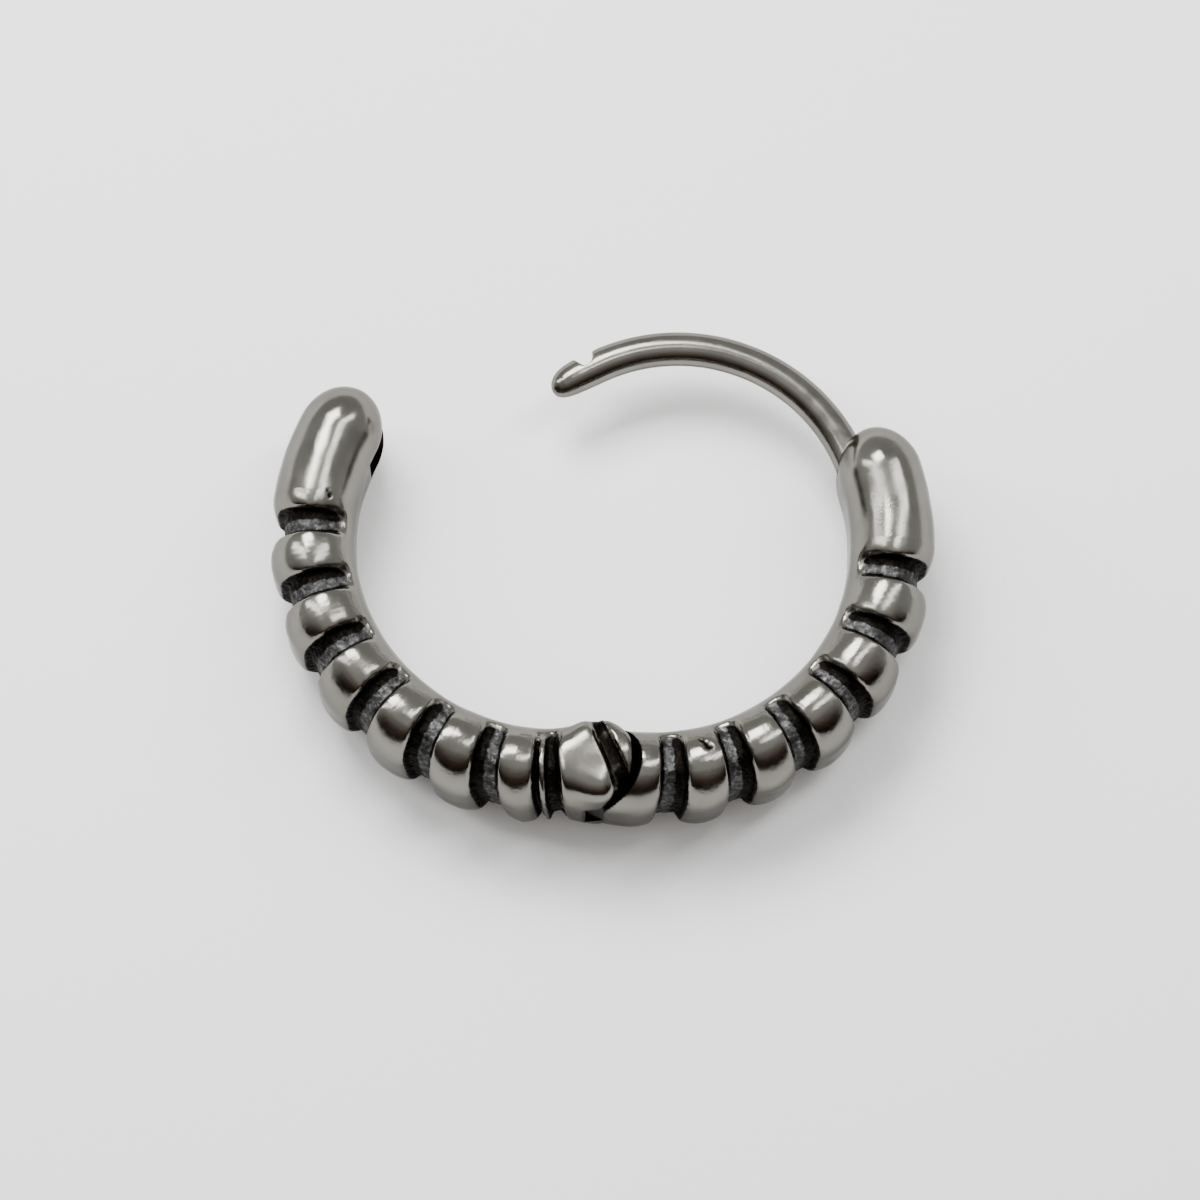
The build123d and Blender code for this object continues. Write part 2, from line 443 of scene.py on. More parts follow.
def make_knuckle():
    """The knuckle and the flat-topped rib before it, both cut by the knuckle's groove."""
    half = THICKNESS / 2
    barrel = rounded_disc(half, REAR_DROP - WIDTH / 2, WIDTH / 2)
    keep_behind(barrel, wall(BARREL_START, 0, 1, 0))
    start, end = CATCH_GROOVES[-1][0] - GROOVE_ARC, HINGE_ANGLE + 360
    flat_rib = oval_bar(start, end, flat=FLAT_RIB)
    flat_rib.data.transform(Matrix.Scale(1 - REAR_DROP / WIDTH, 4, (0, 0, 1)))
    flat_rib.data.transform(Matrix.Translation((0, 0, REAR_DROP / 2)))
    pieces = []
    for block in (barrel, flat_rib):
        before, beyond = slices(block, (KNUCKLE_GROOVE,))
        keep_behind(before, wall(*CATCH_GROOVES[-1], 1))
        pieces += [before, beyond]
        bpy.data.objects.remove(block)
    bpy.data.objects.remove(pieces.pop())
    core_top = WIDTH / 2 - KNUCKLE_DEPTH
    return pieces + [rounded_disc(half - CORE_RIM, -core_top, core_top)]


def make_catch_half():
    """The half ring with the slotted barrel, the fork and the knuckle."""
    end = HINGE_ANGLE + 360
    bar = oval_bar(catch_rim, end, start_cap=TIP_LENGTH, end_cap=THICKNESS / 2)
    shells = slices(bar, CATCH_GROOVES + (KNUCKLE_GROOVE,))
    bpy.data.objects.remove(bar)
    bpy.data.objects.remove(shells.pop())
    shells += [
        oval_bar(catch_rim + CORE_SETBACK, end, inset=GROOVE_DEPTH),
        *make_knuckle(),
        make_ridge(),
        bore_strip(catch_rim + CORE_SETBACK, end),
    ]
    half = fuse(shells, "catch_casting")
    slot_start = SLOT_FLOOR - SLOT_SWEEP
    slot = box_arc(SLOT_INNER, SLOT_OUTER, -SLOT_HALF, SLOT_HALF, slot_start, SLOT_FLOOR)
    slot.data.transform(Matrix.Translation(hinge))
    fork = disc(FORK_RADIUS, -FORK_HALF, FORK_HALF)
    cut_away(half, fork, disc(PIN_HOLE, -WIDTH, PIN_TOP), slot)
    tidy(half, CUT_MERGE)
    return half


catch_casting = make_catch_half()

# %% [markdown]
# The wire half has what the fork takes: a tongue on the middle of the width, with the
# metal each side of it cut back in a round shoulder so that the knuckle can turn. The
# shoulder is cut first, and the tongue is joined on by two unions.

# %% The wire half
TONGUE_REACH = 13.0
PIN_PLAY = 0.02


def make_wire_half():
    """The half ring with the ear wire's barrel and the hinge's tongue."""
    bar = oval_bar(HINGE_ANGLE, wire_rim, end_cap=TIP_LENGTH)
    shells = slices(bar, WIRE_GROOVES)
    bpy.data.objects.remove(bar)
    shells.append(oval_bar(HINGE_ANGLE, wire_rim - CORE_SETBACK, inset=GROOVE_DEPTH))
    shells.append(bore_strip(HINGE_ANGLE, wire_rim - CORE_SETBACK))
    half = fuse(shells, "wire_casting")
    cut_away(half, disc(SHOULDER_RADIUS, -WIDTH, WIDTH))
    inner, outer = MID_RADIUS - TONGUE_RADIUS, MID_RADIUS + TONGUE_RADIUS
    neck_end = HINGE_ANGLE + TONGUE_REACH
    neck = box_arc(inner, outer, -TONGUE_HALF, TONGUE_HALF, HINGE_ANGLE, neck_end)
    tongue = disc(TONGUE_RADIUS, -TONGUE_HALF, TONGUE_HALF)
    for part in (neck, tongue):
        apply_modifier(half, "BOOLEAN", object=part, operation="UNION", solver="EXACT")
        bpy.data.objects.remove(part)
    cut_away(half, disc(PIN_HOLE + PIN_PLAY, -WIDTH, WIDTH))
    tidy(half, CUT_MERGE)
    return half


wire_casting = make_wire_half()

# %% [markdown]
# The ear wire is round wire bent in an arc. Its last stretch is straight and rounded at
# the tip, with a notch filed across the outside: steep on the tip's side, so that it
# holds, and sloped back on the other. A curve with a round bevel could make the wire,
# but a circle that is spun and then extruded ring by ring also gives the lopsided tip.
# The outline of the cut is a short table, and so are the rings of the tip.

# %% The ear wire
WIRE_CENTRE = Vector((0.587, 0.922, 0))
WIRE_BEND = 5.36
WIRE_RADIUS = 0.5
WIRE_ROOT_ANGLE = 27.0
WIRE_END_ANGLE = 151.7
WIRE_STRAIGHT = 1.5
WIRE_POINTS = 72
WIRE_STEPS = 90
WIRE_VOXEL = 0.035
WIRE_SOFTEN = 3
TIP_RINGS = (
    # along, radius, shift
    (0.60, 0.490, 0.000),
    (0.90, 0.465, -0.012),
    (1.12, 0.420, -0.030),
    (1.30, 0.340, -0.055),
    (1.42, 0.240, -0.075),
    (1.48, 0.130, -0.090),
    (1.50, 0.040, -0.095),
)
NOTCH_PLACE = 0.32
NOTCH_DEPTH = 0.44
NOTCH_REACH = 1.0
NOTCH_OUTLINE = (
    # along, height
    (0.30, 1.20),
    (0.235, 0.50),
    (0.215, 0.40),
    (0.12, 0.10),
    (0.06, 0.02),
    (0.00, 0.00),
    (-0.12, 0.02),
    (-0.24, 0.09),
    (-0.32, 0.20),
    (-0.345, 0.30),
    (-0.365, 0.355),
    (-0.45, 0.405),
    (-0.65, 0.445),
    (-0.90, 0.475),
    (-1.15, 0.50),
    (-1.15, 1.20),
)


def notch_cutter():
    """A prism of the notch's outline, across the wire."""
    bottom = WIRE_BEND + WIRE_RADIUS - NOTCH_DEPTH
    outline = bpy.data.meshes.new("notch")
    points = [
        (bottom + height, NOTCH_PLACE + along, -NOTCH_REACH) for along, height in NOTCH_OUTLINE
    ]
    outline.from_pydata(points, [], [list(range(len(points)))])
    cutter = bpy.data.objects.new("notch", outline)
    bpy.context.scene.collection.objects.link(cutter)
    make_active(cutter)
    bpy.ops.object.mode_set(mode="EDIT")
    bpy.ops.mesh.select_all(action="SELECT")
    bpy.ops.mesh.extrude_region_move(TRANSFORM_OT_translate={"value": (0, 0, 2 * NOTCH_REACH)})
    bpy.ops.object.mode_set(mode="OBJECT")
    tidy(cutter)
    return cutter


def make_ear_wire():
    """The bent wire with its notched tip, placed in the wire half's frame."""
    start_clean()
    bpy.ops.mesh.primitive_circle_add(
        vertices=WIRE_POINTS, radius=WIRE_RADIUS, fill_type="NOTHING", rotation=(math.pi / 2, 0, 0)
    )
    wire = bpy.context.object
    wire.name = "ear_wire_bent"
    bpy.ops.object.transform_apply(location=False, rotation=True, scale=False)
    wire.data.transform(Matrix.Translation((WIRE_BEND, 0, 0)))
    arc = WIRE_END_ANGLE - math.degrees(WIRE_STRAIGHT / WIRE_BEND) - WIRE_ROOT_ANGLE
    bpy.ops.object.mode_set(mode="EDIT")
    bpy.ops.mesh.select_all(action="SELECT")
    spin(arc, WIRE_STEPS)
    bpy.ops.object.mode_set(mode="OBJECT")
    turned(wire, -arc)
    reached, radius, shift = 0.0, WIRE_RADIUS, 0.0
    for along, next_radius, next_shift in TIP_RINGS:
        pick(wire, lambda p, y=reached: abs(p.y - y) < NEAR and p.x > 0)
        bpy.ops.mesh.extrude_edges_move(
            TRANSFORM_OT_translate={"value": (next_shift - shift, along - reached, 0)}
        )
        ratio = next_radius / radius
        centre = (WIRE_BEND + next_shift, along, 0)
        bpy.ops.transform.resize(value=(ratio, 1, ratio), center_override=centre)
        reached, radius, shift = along, next_radius, next_shift
    bpy.ops.object.mode_set(mode="OBJECT")
    tidy(wire)
    cut_away(wire, notch_cutter())
    turned(wire, WIRE_ROOT_ANGLE + arc)
    wire.data.transform(Matrix.Translation(WIRE_CENTRE))
    return fuse([wire], "ear_wire_bent", WIRE_VOXEL, WIRE_SOFTEN)


ear_wire = make_ear_wire()

# %% [markdown]
# The relief and the finish both depend on where a vertex lies: how deep below the plain
# bar, and how far from the nearest groove. That reading could be painted by hand, but
# numbers are exact and the same on every rib. It is kept as vertex groups, which hold
# each relief to its place, and as two attributes, which tell the material where the
# floors are rough, and where the black antiquing has stayed and shade is painted black.

# %% Where the ribs, floors and crevices are
PILLOW_REACH = 0.6
FLOOR_DEPTH = (0.08, 0.22)
# The collar of painted shade round the wire's root, and the angle where the wire leaves its barrel
SHADE_COLLAR = 0.14
WIRE_LEAVES = 33.0
# How far the black reaches before the hinge's barrel, and where the knuckle's groove
# begins to be black
BLACK_REACH = 1.2
BLACK_FROM = 0.9
# The margins take in the vertices that lie on the walls of a cut
MARGIN = 0.02
FINE_MARGIN = 0.01
FAR_AWAY = 9.0
GROUP_STEPS = 20
CATCH_MARKS = (
    # angle, radius from the ring's centre, size
    (169.1, 6.50, 0.11),
    (168.2, 6.58, 0.06),
)
WIRE_MARKS = (
    # angle, radius from the ring's centre, size
    (-57.6, 6.68, 0.17),
    (-58.0, 6.58, 0.15),
    (-58.9, 6.46, 0.11),
)


def smooth(values, low, high):
    """0 below low, 1 above high, and an easy curve between."""
    share = np.clip((values - low) / (high - low), 0, 1)
    return share * share * (3 - 2 * share)


def vertex_places(piece):
    """The X, Y and Z of every vertex, as three arrays."""
    places = np.empty(len(piece.data.vertices) * 3)
    piece.data.vertices.foreach_get("co", places)
    return places.reshape(-1, 3).T


def depth_below_bar(x, y, z):
    """How far a place lies below the skin of the plain bar."""
    out = (np.hypot(x, y) - MID_RADIUS) / (THICKNESS / 2)
    rise = np.maximum(np.abs(z) - SIDE, 0) / (WIDTH / 2 - SIDE)
    return (1 - np.hypot(out, rise)) * THICKNESS / 2


def near_grooves(x, y, z, grooves, upper):
    """Distance outside the nearest groove, and the place across it: 1 at the upper wall."""
    angle = np.degrees(np.arctan2(y, x))
    out = np.hypot(x, y) - MID_RADIUS
    outside = np.full(len(x), FAR_AWAY)
    across = np.zeros(len(x))
    for row in grooves:
        # Most rows give no arc and no tilt of their own
        middle, lean, arc, tilt = row + (GROOVE_ARC, 0.0)[len(row) - 2:]
        tilted = np.degrees(out * math.tan(math.radians(tilt)) / MID_RADIUS)
        offset = (angle - middle - lean * z / WIDTH - tilted + 180) % 360 - 180
        beyond = np.radians(np.abs(offset) - arc / 2) * MID_RADIUS
        nearer = beyond < outside
        outside[nearer] = beyond[nearer]
        across[nearer] = (upper * offset / (arc / 2))[nearer]
    return outside, across


def mark_weights(x, y, z, marks):
    """Small pits and dents on the front face."""
    weights = np.zeros(len(x))
    for angle, radius, size in marks:
        place = Matrix.Rotation(math.radians(angle), 3, "Z") @ Vector((radius, 0, 0))
        reach = np.hypot(x - place.x, y - place.y) / size
        weights = np.maximum(weights, (1 - smooth(reach, 0.2, 1.0)) * (z > 0))
    return weights


def keep_attribute(piece, name, values):
    """Write one number per vertex onto the mesh."""
    attribute = piece.data.attributes.new(name, "FLOAT", "POINT")
    attribute.data.foreach_set("value", values.astype(np.float32))


def keep_group(piece, name, weights):
    """Write weights into a vertex group, rounded to even steps."""
    group = piece.vertex_groups.new(name=name)
    steps = np.round(weights * GROUP_STEPS).astype(int)
    for step in range(1, GROUP_STEPS + 1):
        members = np.flatnonzero(steps == step).tolist()
        group.add(members, step / GROUP_STEPS, "REPLACE")


def read_casting(piece, grooves, upper, marks, crevices, seam=None):
    """Vertex groups and attributes of one half, from where its vertices lie.

    The seam is the angle where the flat rib and the hinge's barrel meet. It is smoothed
    over, and the groove just before it is black all through.
    """
    x, y, z = vertex_places(piece)
    depth = depth_below_bar(x, y, z)
    outside, across = near_grooves(x, y, z, grooves, upper)
    crevice = crevices(x, y, z).astype(float)

    # The rough floor is deep below the bar's skin and between a groove's walls
    recess = smooth(depth, *FLOOR_DEPTH) * (outside < 0.08) * (1 - crevice)

    # The pillow falls off beside a groove, most on the outside and not at all in the bore
    out = (np.hypot(x, y) - MID_RADIUS) / (THICKNESS / 2)
    outer = smooth(out, 0.2, 0.9)
    pillow = np.clip(1 - outside / PILLOW_REACH, 0, 1) ** 2 * (0.4 + 0.6 * outer)
    pillow *= (1 - smooth(depth, 0.03, 0.12)) * (1 - crevice) * smooth(out, -0.8, -0.5)

    # Edges are softened where ribs meet grooves, and where a groove ends at the bore
    edges = (1 - smooth(np.abs(outside), 0.05, 0.4)) * (1 - smooth(depth, 0.2, 0.4))
    groove_ends = smooth(-out, 0.5, 0.7) * (outside < 0.06) * (np.abs(z) > 0.5)
    softened = np.maximum(edges * (0.25 + 0.75 * outer), groove_ends)

    # The oxide stays in both corners and fades in the bore. Along the upper wall the black is
    # partly oxide and partly painted shade, the shadow of the upper rib in light from above
    dark = np.maximum(smooth(across, 0.0, 0.5), smooth(np.abs(across), 0.7, 0.95))
    if seam:
        before_seam = np.radians(seam - np.degrees(np.arctan2(y, x)) % 360) * MID_RADIUS
        softened = np.maximum(softened, 1 - smooth(np.abs(before_seam), 0.35, 0.75))
        dark = np.maximum(dark, (before_seam > 0) & (before_seam < BLACK_REACH))
    dark *= 0.2 + 0.8 * smooth(out, -0.85, -0.5)
    pits = mark_weights(x, y, z, marks)
    # This black share joins the antiquing in corners, crevices and pits with painted shade along
    # the upper walls and round the wire's root
    oxide_and_shade = np.maximum(np.maximum(recess * dark, crevice), smooth(pits, 0.05, 0.6))

    keep_group(piece, "pillow", pillow)
    keep_group(piece, "softened", softened * (1 - crevice))
    keep_group(piece, "floor", recess)
    keep_group(piece, "polished", (1 - recess) * (1 - crevice))
    keep_group(piece, "pits", pits)
    keep_attribute(piece, "recess", recess)
    keep_attribute(piece, "oxide_and_shade", oxide_and_shade)
    print(piece.name, "floor vertices", int((recess > 0.5).sum()), "dark", int(crevice.sum()))


def in_catch_crevices(x, y, z):
    """The fork's inside, the knuckle's slot, the pin's hole and the slot for the wire."""
    outside, _ = near_grooves(x, y, z, (KNUCKLE_GROOVE,), 1)
    knuckle_slot = (outside < -MARGIN) & (z > BLACK_FROM)
    reach = np.hypot(x - hinge.x, y - hinge.y)
    angle = np.degrees(np.arctan2(y - hinge.y, x - hinge.x)) % 360
    fork = (reach < FORK_RADIUS + MARGIN) & (np.abs(z) < FORK_HALF + FINE_MARGIN)
    hole = (reach < PIN_HOLE + MARGIN) & (z < PIN_TOP + FINE_MARGIN)
    slot = (reach > SLOT_INNER - FINE_MARGIN) & (reach < SLOT_OUTER + FINE_MARGIN)
    slot &= (angle < SLOT_FLOOR + 0.1) & (np.abs(z) < SLOT_HALF + FINE_MARGIN)
    return fork | hole | knuckle_slot | slot


def in_wire_crevices(x, y, z):
    """The shoulders that the knuckle turns in, the tongue, and a collar of painted shade round the
    wire.
    """
    shoulder = np.hypot(x - hinge.x, y - hinge.y) < SHOULDER_RADIUS + MARGIN
    from_bend = np.hypot(x - WIRE_CENTRE.x, y - WIRE_CENTRE.y) - WIRE_BEND
    along_bend = np.degrees(np.arctan2(y - WIRE_CENTRE.y, x - WIRE_CENTRE.x))
    near_root = (along_bend > WIRE_LEAVES) & (along_bend < 90)
    return shoulder | (near_root & (np.hypot(from_bend, z) < WIRE_RADIUS + SHADE_COLLAR))


def read_wire(piece):
    """The dark line where the wire comes out of its barrel: painted shade at the joint."""
    x, y, z = vertex_places(piece)
    along_bend = np.degrees(np.arctan2(y - WIRE_CENTRE.y, x - WIRE_CENTRE.x))
    keep_attribute(piece, "oxide_and_shade", 1 - smooth(along_bend, WIRE_LEAVES + 2, WIRE_LEAVES + 6))


read_wire(ear_wire)
catch_cuts = CATCH_GROOVES + (KNUCKLE_GROOVE,)
read_casting(catch_casting, catch_cuts, -1, CATCH_MARKS, in_catch_crevices, BARREL_START)
read_casting(wire_casting, WIRE_GROOVES, 1, WIRE_MARKS, in_wire_crevices)

# %% [markdown]
# Tumbling rounds every rib like a small pillow, casting leaves the polished skin a
# little wavy, and the groove floors stay as rough as the mould. Sculpting would do it
# too, but Displace and Smooth modifiers held by the vertex groups can be tuned and
# repeated. The pits of the casting are pushed in the same way. Shading by angle keeps
# the sawn edges of the cuts sharp and everything else smooth.

# %% Pillows, waves and rough floors
PILLOW = 0.13
MARK_DEPTH = 0.05
ROUNDING_PASSES = 90
WAVE = 0.035
WAVE_SIZE = 1.1
GRAIN = 0.10
GRAIN_SIZE = 0.20
SHARP_ANGLE = math.radians(65)


def clouds(name, size, depth):
    """A procedural cloud texture for the Displace modifier."""
    texture = bpy.data.textures.new(name, "CLOUDS")
    texture.noise_scale = size
    texture.noise_depth = depth
    return texture


def push(piece, group, strength, texture=None):
    """Displace a vertex group along its normals: in by a depth, or in and out by a texture."""
    settings = {"vertex_group": group, "strength": strength, "mid_level": 0.0}
    if texture:
        settings.update(texture=texture, texture_coords="LOCAL", mid_level=0.5)
    apply_modifier(piece, "DISPLACE", **settings)


waves = clouds("waves", WAVE_SIZE, 1)
grain = clouds("grain", GRAIN_SIZE, 3)
for casting in (catch_casting, wire_casting):
    push(casting, "pillow", -PILLOW)
    apply_modifier(casting, "SMOOTH", vertex_group="softened", iterations=ROUNDING_PASSES)
    push(casting, "pits", -MARK_DEPTH)
    push(casting, "polished", WAVE, waves)
    push(casting, "floor", GRAIN, grain)
    make_active(casting)
    bpy.ops.object.shade_smooth_by_angle(angle=SHARP_ANGLE)

# %% [markdown]
# The finished pieces leave their own ring frames here: each half is turned and moved to
# the open position that the solid model has, and scaled from millimetres to metres.

# %% Placing
def place(piece, centre, turn):
    """Bring a finished piece from its ring's own frame, in millimetres, to its place."""
    move = Matrix.Translation(centre) @ Matrix.Rotation(math.radians(turn), 4, "Z")
    piece.data.transform(Matrix.Scale(MM, 4) @ move)


wire_turn = HOOP_TURN
catch_turn = HOOP_TURN + OPENING
wire_centre = hinge_place - Matrix.Rotation(math.radians(wire_turn), 3, "Z") @ hinge
catch_centre = hinge_place - Matrix.Rotation(math.radians(catch_turn), 3, "Z") @ hinge
place(wire_casting, wire_centre, wire_turn)
place(ear_wire, wire_centre, wire_turn)
place(catch_casting, catch_centre, catch_turn)

# %% [markdown]
# Each piece rides on the body of the solid it stands for, and takes that solid's place.
# The hidden pin keeps its solid, which is already as smooth as a real one.

# %% Riding
for piece, node, body, slot in (
    (wire_casting, "wire_half", "wire_side", "antiqued_steel"),
    (ear_wire, "ear_wire", "wire_side", "polished_steel"),
    (catch_casting, "catch_half", "catch_side", "antiqued_steel"),
):
    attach(piece, body)
    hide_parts(node)
    print(piece.name, "rides on", body)

# %% [markdown]
# Both metals are node trees with the same few kinds of node, so small helpers add and
# link them. Every texture is noise in the object's own coordinates: nothing is painted
# or loaded, and the finish turns with the piece.

# %% Material helpers
def add(tree, kind, **inputs):
    """A node with its unlinked inputs set."""
    node = tree.nodes.new(kind)
    for key, number in inputs.items():
        node.inputs[key.replace("_", " ")].default_value = number
    return node


def noise(tree, size_mm, detail=2.0, roughness=0.5):
    """Cloudy noise of a feature size, in the object's own coordinates."""
    where = tree.nodes.new("ShaderNodeTexCoord").outputs["Object"]
    scale = 1 / (size_mm * MM)
    cloud = add(tree, "ShaderNodeTexNoise", Scale=scale, Detail=detail, Roughness=roughness)
    tree.links.new(where, cloud.inputs["Vector"])
    return cloud.outputs["Fac"]


def ramp(tree, source, *stops):
    """A colour ramp from (position, grey or colour) stops."""
    node = tree.nodes.new("ShaderNodeValToRGB")
    tree.links.new(source, node.inputs["Fac"])
    while len(node.color_ramp.elements) < len(stops):
        node.color_ramp.elements.new(0.5)
    for element, (position, colour) in zip(node.color_ramp.elements, stops):
        element.position = position
        element.color = (*colour, 1) if isinstance(colour, tuple) else (colour, colour, colour, 1)
    return node.outputs["Color"]


def blend(tree, share, first, second):
    """Mix two colours by a share."""
    node = tree.nodes.new("ShaderNodeMix")
    node.data_type = "RGBA"
    for source, socket in ((share, 0), (first, 6), (second, 7)):
        tree.links.new(source, node.inputs[socket])
    return node.outputs[2]


def attribute(tree, name):
    """One of the numbers kept on the mesh."""
    node = tree.nodes.new("ShaderNodeAttribute")
    node.attribute_name = name
    return node.outputs["Fac"]


def calculate(tree, operation, first, second):
    """Simple arithmetic between an output and an output or a number, held from 0 to 1."""
    node = tree.nodes.new("ShaderNodeMath")
    node.operation = operation
    node.use_clamp = True
    for source, socket in ((first, 0), (second, 1)):
        if isinstance(source, (int, float)):
            node.inputs[socket].default_value = source
        else:
            tree.links.new(source, node.inputs[socket])
    return node.outputs[0]


def bump(tree, height, depth_mm, under=None):
    """Relief of a depth, laid over another one if there is one."""
    node = add(tree, "ShaderNodeBump", Strength=1.0, Distance=depth_mm * MM)
    tree.links.new(height, node.inputs["Height"])
    if under:
        tree.links.new(under, node.inputs["Normal"])
    return node.outputs["Normal"]


def new_material(name):
    """A metal with its node tree and shader."""
    material = bpy.data.materials.new(name)
    material.use_nodes = True
    return material, material.node_tree, material.node_tree.nodes["Principled BSDF"]


# %% [markdown]
# Antiqued steel is one metal with two finishes. The ribs are polished: grey, mirror-like,
# with a hair of grain that breaks the highlights into sparks. The floors are as cast,
# grey and lumpy, and black oxide stays where no polishing wheel reaches. The same black,
# partly painted shade, lies along the upper wall of each groove, and painted shade darkens
# the barrel round the wire's root. Noise varies all three, and the attributes choose
# between them. A dark tint holds the reflections down at grazing angles, where plain
# metal would turn white. The wire is drawn, not cast, so it has the polished finish
# alone, and black only where it enters the barrel, which is painted shade.

# %% Antiqued and polished steel
GRAZING_TINT = (0.55, 0.55, 0.55, 1)


def metal_shader(tree, shader, colour, rough, relief):
    """Link the three textures, and make the shader a metal that stays dark at the edge."""
    for source, socket in ((colour, "Base Color"), (rough, "Roughness"), (relief, "Normal")):
        tree.links.new(source, shader.inputs[socket])
    shader.inputs["Metallic"].default_value = 1
    shader.inputs["Specular Tint"].default_value = GRAZING_TINT


def polished_finish(tree):
    """Colour, roughness and relief of the polished skin."""
    warm, pale = (0.148, 0.142, 0.125), (0.184, 0.178, 0.158)
    colour = ramp(tree, noise(tree, 1.3), (0.3, warm), (0.7, pale))
    rough = ramp(tree, noise(tree, 0.5, 4.0), (0.3, 0.13), (0.7, 0.24))
    relief = bump(tree, noise(tree, 0.07, 3.0, 0.7), 0.003)
    return colour, rough, relief


def oxide_and_shade_black(tree):
    """The black of the antiquing and of the painted shade, a little brown in places."""
    return ramp(tree, noise(tree, 0.1, 3.0), (0.3, 0.002), (0.8, (0.012, 0.01, 0.008)))


def antiqued_steel():
    """Polished ribs, rough cast floors, black oxide in the corners, and painted shade along the
    upper walls and round the wire's root.
    """
    material, tree, shader = new_material("antiqued_steel")
    colour, rough, relief = polished_finish(tree)
    recess = attribute(tree, "recess")
    patches = ramp(tree, noise(tree, 0.25, 4.0, 0.6), (0.35, 0.0), (0.7, 0.5))
    # The kept black share is antiquing in corners and pits, and painted shade along the upper walls
    # and round the wire's root; noise breaks it into patches
    kept = attribute(tree, "oxide_and_shade")
    oxide_and_shade = ramp(tree, calculate(tree, "ADD", kept, patches), (0.35, 0.0), (0.6, 1.0))
    oxide_and_shade = calculate(tree, "MULTIPLY", oxide_and_shade, calculate(tree, "ADD", recess, kept))
    cast = noise(tree, 0.16, 5.0, 0.65)
    cast = ramp(tree, cast, (0.3, 0.012), (0.52, 0.05), (0.66, 0.13), (0.8, 0.3))
    colour = blend(tree, oxide_and_shade, blend(tree, recess, colour, cast), oxide_and_shade_black(tree))
    rough = blend(tree, recess, rough, ramp(tree, noise(tree, 0.12), (0.3, 0.36), (0.7, 0.55)))
    lumps = calculate(tree, "MULTIPLY", noise(tree, 0.13, 4.0, 0.6), recess)
    metal_shader(tree, shader, colour, rough, bump(tree, lumps, 0.05, under=relief))
    return material


def polished_steel():
    """Drawn wire, polished: the same metal, with painted shade only where it enters the barrel."""
    material, tree, shader = new_material("polished_steel")
    colour, rough, relief = polished_finish(tree)
    colour = blend(tree, attribute(tree, "oxide_and_shade"), colour, oxide_and_shade_black(tree))
    metal_shader(tree, shader, colour, rough, relief)
    return material


antiqued, polished = antiqued_steel(), polished_steel()
for piece, material in (
    (wire_casting, antiqued),
    (catch_casting, antiqued),
    (ear_wire, polished),
    (frame["nodes"]["hinge_pin"], polished),
):
    piece.data.materials.clear()
    piece.data.materials.append(material)

# %% [markdown]
# The earring lies on a sheet of pale matt paper, which also lights the lower flanks of
# the ribs from below.

# %% Floor
FLOOR_SIZE = 0.6
start_clean()
bpy.ops.mesh.primitive_plane_add(size=FLOOR_SIZE)
floor = bpy.context.object
floor.name = "floor"
paper = bpy.data.materials.new("paper")
paper.use_nodes = True
paper_shader = paper.node_tree.nodes["Principled BSDF"]
paper_shader.inputs["Base Color"].default_value = (0.93, 0.93, 0.93, 1)
paper_shader.inputs["Roughness"].default_value = 0.9
floor.data.materials.append(paper)

# %% [markdown]
# Polished metal shows its surroundings more than itself, so the studio is built with
# care. The sky is grey, lighter behind the hoop and dark brown in front, low down, where
# the photographer stands, and that gives the dark band on the lower ribs. Two ramps by
# height make it, mixed by how far a direction faces the front. Soft boxes above give the
# bright streaks on the ribs and barrels.

# %% Sky and soft boxes
SKY_STRENGTH = 1.1


def studio_sky():
    """A grey sky, pale towards the back, dark brown low in front."""
    world = bpy.data.worlds.new("studio")
    bpy.context.scene.world = world
    world.use_nodes = True
    tree = world.node_tree
    where = tree.nodes.new("ShaderNodeTexCoord").outputs["Generated"]
    axes = tree.nodes.new("ShaderNodeSeparateXYZ")
    tree.links.new(where, axes.inputs["Vector"])
    back_sky = ramp(tree, axes.outputs["Z"], (0.0, 0.85), (0.4, 0.7), (0.75, 0.65), (0.9, 0.95))
    front_sky = ramp(
        tree,
        axes.outputs["Z"],
        (0.0, (0.004, 0.003, 0.002)),
        (0.22, (0.03, 0.016, 0.01)),
        (0.5, (0.16, 0.10, 0.075)),
        (0.8, (0.55, 0.52, 0.5)),
        (0.92, 0.95),
    )
    forward = calculate(tree, "MULTIPLY", axes.outputs["Y"], -1.0)
    facing = ramp(tree, forward, (0.05, 0.0), (0.4, 1.0))
    sky = blend(tree, facing, back_sky, front_sky)
    tree.links.new(sky, tree.nodes["Background"].inputs["Color"])
    tree.nodes["Background"].inputs["Strength"].default_value = SKY_STRENGTH


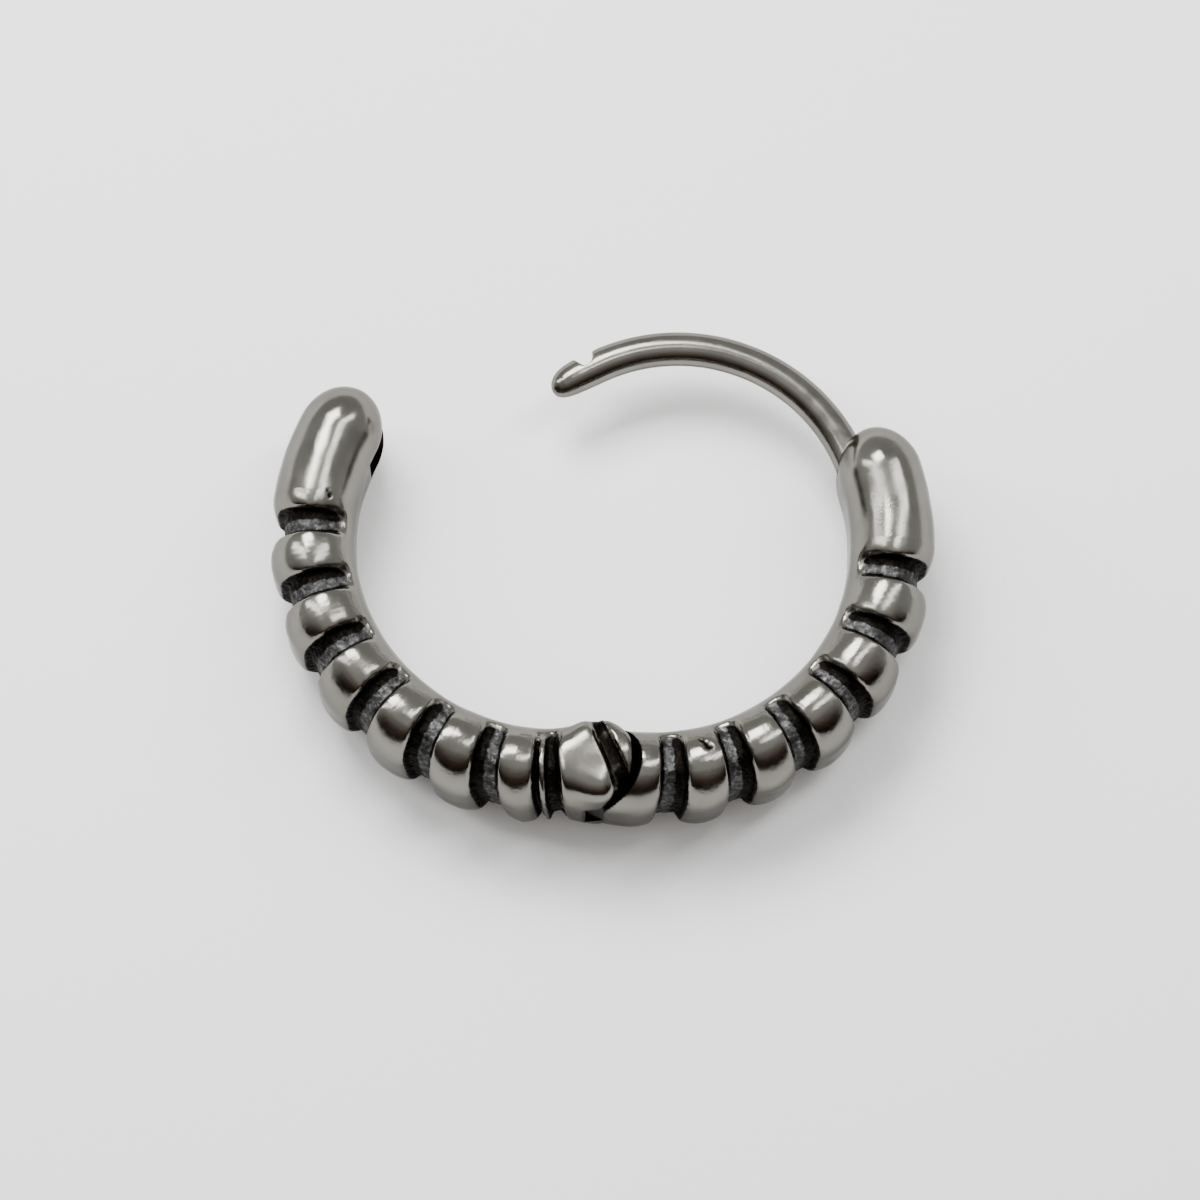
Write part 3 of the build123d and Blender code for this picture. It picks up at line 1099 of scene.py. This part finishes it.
SOFT_BOXES = (
    # name, centre X, Y, Z, width and length in millimetres, power in watts
    ("key", -28, 60, 100, 64, 50, 0.23),
    ("right", 50, 30, 100, 18, 110, 0.07),
    ("left", -105, 30, 100, 22, 110, 0.09),
)


def soft_box(name, x, y, z, width, length, power):
    """A rectangular lamp facing the earring."""
    data = bpy.data.lights.new(name, "AREA")
    data.shape = "RECTANGLE"
    data.size, data.size_y = width * MM, length * MM
    data.energy = power
    lamp = bpy.data.objects.new(name, data)
    bpy.context.scene.collection.objects.link(lamp)
    lamp.location = Vector((x, y, z)) * MM
    lamp.rotation_mode = "QUATERNION"
    lamp.rotation_quaternion = (-lamp.location).to_track_quat("-Z", "Y")
    lamp.visible_camera = False


studio_sky()
for row in SOFT_BOXES:
    soft_box(*row)

# %% [markdown]
# The camera looks down at the earring from a little in front, with a long lens, and the
# shift only brings the ring to its place in the frame.

# %% Camera
TILT = 16.7
TILT_TURN = -5.5
DISTANCE = 120.0
PIXELS_PER_MM = 34.4
RING_CENTRE_PX = (650.4, 545.4)
IMAGE = 1200
SENSOR = 36
camera_data = bpy.data.cameras.new("camera")
camera = bpy.data.objects.new("camera", camera_data)
bpy.context.scene.collection.objects.link(camera)
bpy.context.scene.camera = camera
tilt, swing = math.radians(TILT), math.radians(TILT_TURN)
back = Vector((math.sin(swing) * math.sin(tilt), -math.cos(swing) * math.sin(tilt), math.cos(tilt)))
camera.location = (wire_centre + back * DISTANCE) * MM
camera.rotation_mode = "QUATERNION"
camera.rotation_quaternion = (-back).to_track_quat("-Z", "Y")
roll = Matrix.Rotation(-swing, 4, back)
camera.rotation_quaternion = roll.to_quaternion() @ camera.rotation_quaternion
camera_data.sensor_width = SENSOR
camera_data.lens = SENSOR * DISTANCE * PIXELS_PER_MM / IMAGE
camera_data.shift_x = (IMAGE / 2 - RING_CENTRE_PX[0]) / IMAGE
camera_data.shift_y = (RING_CENTRE_PX[1] - IMAGE / 2) / IMAGE
camera_data.clip_start = 0.005
camera_data.clip_end = 2

# %% [markdown]
# Last, the scene is brought up to date, so that every piece stands where it was placed.

# %% Update
bpy.context.view_layer.update()
